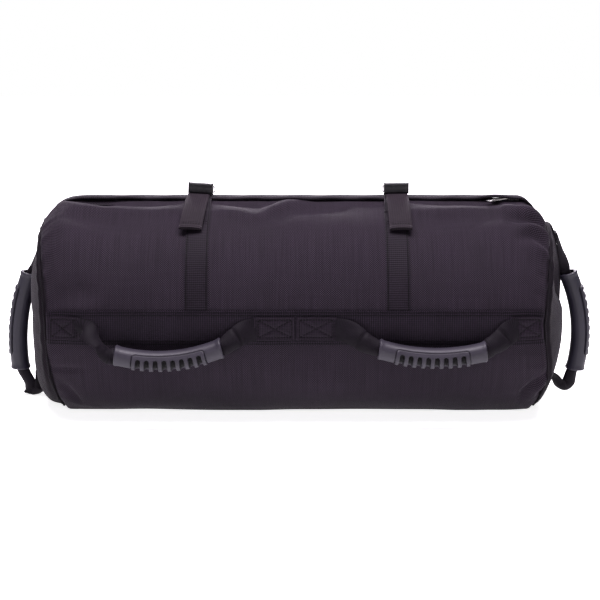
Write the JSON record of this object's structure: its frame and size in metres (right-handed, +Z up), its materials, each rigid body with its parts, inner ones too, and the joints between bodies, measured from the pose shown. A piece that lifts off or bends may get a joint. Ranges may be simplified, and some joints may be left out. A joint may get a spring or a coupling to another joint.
{
  "type": "sandbag trainer",
  "caption": "Weight training sandbag: a cylindrical nylon bag with a zip under a flap, cinched compression straps and ribbed rubber grip handles on its sides and ends.",
  "frame": {"origin": "on the floor under the middle of the bag's bounding box", "axes": "+X along the bag towards the end where the closed zip's slider is, +Y from the front to the back, +Z up"},
  "size_m": [0.6644, 0.304, 0.2499],
  "materials": {
    "nylon": "coarse black nylon weave with a faint purple cast, matt",
    "webbing": "ribbed black polyester webbing",
    "rubber": "satin black moulded rubber",
    "black_metal": "black painted steel",
    "bright_metal": "nickel plate",
    "zip_chain": "black nylon coil",
    "sleeve": "plain dark woven sleeve",
    "sand": "loose dry sand",
    "hook_and_loop": "closed hook-and-loop strip"
  },
  "bodies": {
    "bag": {"body_wrap": "nylon", "left_end_panel": "nylon", "right_end_panel": "nylon", "left_end_piping": "nylon", "right_end_piping": "nylon", "zip_tape_front": "nylon", "zip_tape_back": "nylon", "zip_chain": "zip_chain", "zip_stop_left": "bright_metal", "zip_stop_right": "bright_metal", "front_band": "webbing", "back_band": "webbing", "left_front_strap": "webbing", "left_rear_strap": "webbing", "right_front_strap": "webbing", "right_rear_strap": "webbing", "front_left_handle_tab_a": "webbing", "front_left_handle_tab_b": "webbing", "front_right_handle_tab_a": "webbing", "front_right_handle_tab_b": "webbing", "rear_left_handle_tab_a": "webbing", "rear_left_handle_tab_b": "webbing", "rear_right_handle_tab_a": "webbing", "rear_right_handle_tab_b": "webbing", "left_end_handle_top_tab": "webbing", "left_end_handle_bottom_tab": "webbing", "right_end_handle_top_tab": "webbing", "right_end_handle_bottom_tab": "webbing", "filler_front_lower_sleeve": "sleeve", "filler_front_lower_sand": "sand", "filler_front_lower_closure": "hook_and_loop", "filler_rear_lower_sleeve": "sleeve", "filler_rear_lower_sand": "sand", "filler_rear_lower_closure": "hook_and_loop", "filler_upper_sleeve": "sleeve", "filler_upper_sand": "sand", "filler_upper_closure": "hook_and_loop"},
    "flap": {"zip_flap": "nylon", "left_strap_bridge": "webbing", "left_buckle_anchor": "webbing", "right_strap_bridge": "webbing", "right_buckle_anchor": "webbing"},
    "left_lock": {"left_buckle": "black_metal"},
    "right_lock": {"right_buckle": "black_metal"},
    "left_tail": {"left_strap_tail": "webbing"},
    "right_tail": {"right_strap_tail": "webbing"},
    "slider": {"zip_slider": "bright_metal"},
    "pull": {"zip_pull": "bright_metal"},
    "front_left_handle": {"front_left_handle_grip": "rubber", "front_left_handle_webbing": "webbing"},
    "front_right_handle": {"front_right_handle_grip": "rubber", "front_right_handle_webbing": "webbing"},
    "rear_left_handle": {"rear_left_handle_grip": "rubber", "rear_left_handle_webbing": "webbing"},
    "rear_right_handle": {"rear_right_handle_grip": "rubber", "rear_right_handle_webbing": "webbing"},
    "left_end_handle": {"left_end_handle_grip": "rubber", "left_end_handle_webbing": "webbing"},
    "right_end_handle": {"right_end_handle_grip": "rubber", "right_end_handle_webbing": "webbing"}
  },
  "joints": [
    {"name": "front_left_handle_swing", "type": "hinge", "parent": "bag", "child": "front_left_handle", "pos_m": [-0.1385, -0.1335, 0.11], "axis": [-1, 0, 0], "range_deg": [0, 145]},
    {"name": "front_right_handle_swing", "type": "hinge", "parent": "bag", "child": "front_right_handle", "pos_m": [0.1395, -0.1335, 0.11], "axis": [-1, 0, 0], "range_deg": [0, 145]},
    {"name": "rear_left_handle_swing", "type": "hinge", "parent": "bag", "child": "rear_left_handle", "pos_m": [-0.1385, 0.1335, 0.11], "axis": [1, 0, 0], "range_deg": [0, 145]},
    {"name": "rear_right_handle_swing", "type": "hinge", "parent": "bag", "child": "rear_right_handle", "pos_m": [0.1395, 0.1335, 0.11], "axis": [1, 0, 0], "range_deg": [0, 145]},
    {"name": "left_end_handle_swing", "type": "hinge", "parent": "bag", "child": "left_end_handle", "pos_m": [-0.3003, 0, 0.187], "axis": [-0.0094, 0, 1], "range_deg": [-22, 22]},
    {"name": "right_end_handle_swing", "type": "hinge", "parent": "bag", "child": "right_end_handle", "pos_m": [0.2957, 0, 0.1874], "axis": [0.0126, 0, 0.9999], "range_deg": [-22, 22]},
    {"name": "zip_slide", "type": "slide", "parent": "bag", "child": "slider", "axis": [-1, 0, 0], "range_m": [0, 0.483]},
    {"name": "zip_pull_swivel", "type": "hinge", "parent": "slider", "child": "pull", "pos_m": [0.24, 0, 0.2328], "axis": [-0.0194, -0.0191, 0.9996], "range_deg": [-50, 30]},
    {"name": "flap_lift", "type": "hinge", "parent": "bag", "child": "flap", "pos_m": [0, 0.025, 0.229], "axis": [-1, 0, 0], "range_deg": [0, 25]},
    {"name": "left_buckle_tilt", "type": "hinge", "parent": "flap", "child": "left_lock", "pos_m": [-0.111, 0.01, 0.241], "axis": [-1, 0, 0], "range_deg": [0, 15]},
    {"name": "left_tail_swing", "type": "hinge", "parent": "left_lock", "child": "left_tail", "pos_m": [-0.111, -0.0092, 0.2401], "axis": [-1, 0, 0], "range_deg": [0, 60]},
    {"name": "right_buckle_tilt", "type": "hinge", "parent": "flap", "child": "right_lock", "pos_m": [0.105, 0.01, 0.241], "axis": [-1, 0, 0], "range_deg": [0, 15]},
    {"name": "right_tail_swing", "type": "hinge", "parent": "right_lock", "child": "right_tail", "pos_m": [0.105, -0.0092, 0.2401], "axis": [-1, 0, 0], "range_deg": [0, 60]}
  ]
}
